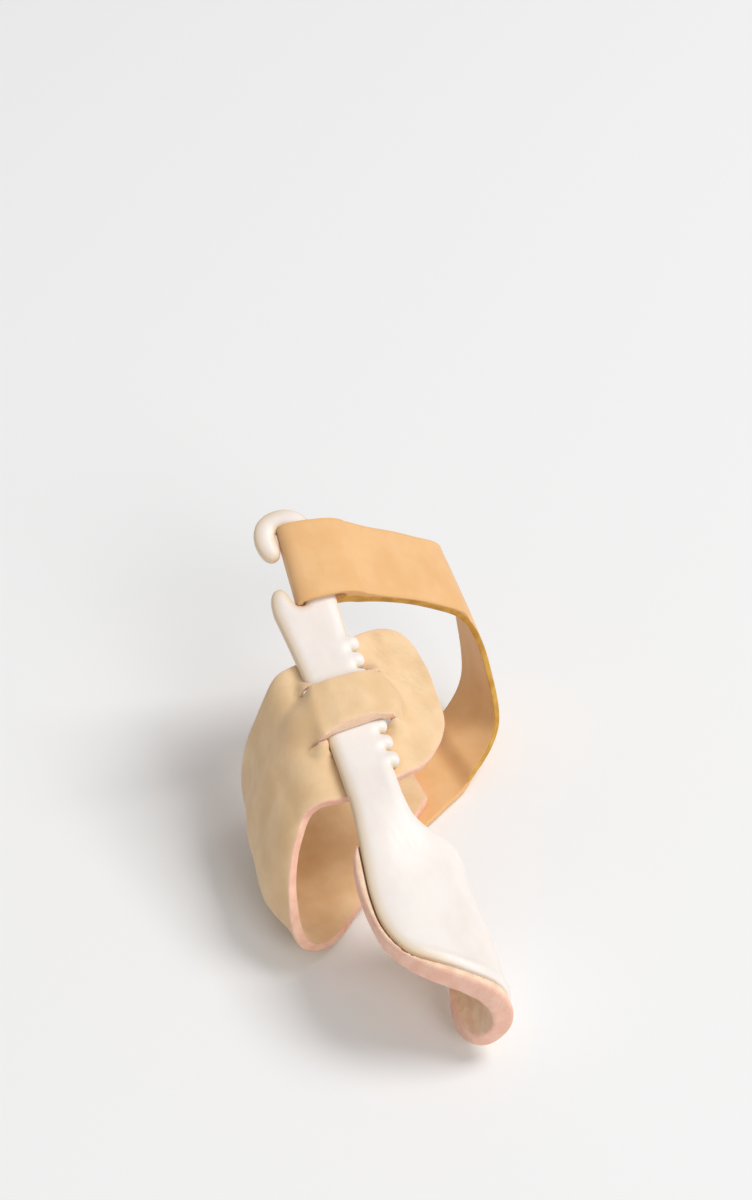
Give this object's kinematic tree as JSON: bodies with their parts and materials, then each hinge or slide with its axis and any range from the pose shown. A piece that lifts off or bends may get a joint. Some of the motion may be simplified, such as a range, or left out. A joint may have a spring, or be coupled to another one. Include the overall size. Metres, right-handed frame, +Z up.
{
  "type": "bunion corrector",
  "caption": "Left-foot bunion corrector: a toothed splint with a padded toe scoop, a foam sling round the ball and a hooked instep strap, as worn.",
  "frame": {"origin": "foot_seat: the point on the sling's inner face that the sole rests on, under the ball of the big toe and straight below the splint's centre line", "axes": "+X to the wearer's little toe, +Y along the foot to the heel and along the splint, +Z up from the sole"},
  "size_m": [0.0894, 0.1498, 0.0786],
  "materials": {
    "splint_plastic": "warm white moulded plastic, satin",
    "pad_foam": "skin-coloured closed-cell foam, matt",
    "sling_foam": "beige foam with a smooth, faintly grained skin",
    "strap_foam": "warm beige elastic foam strap, matt"
  },
  "bodies": {
    "root": {"splint": "splint_plastic", "toe_pad": "pad_foam", "ball_sling": "sling_foam", "instep_strap": "strap_foam"}
  },
  "joints": []
}
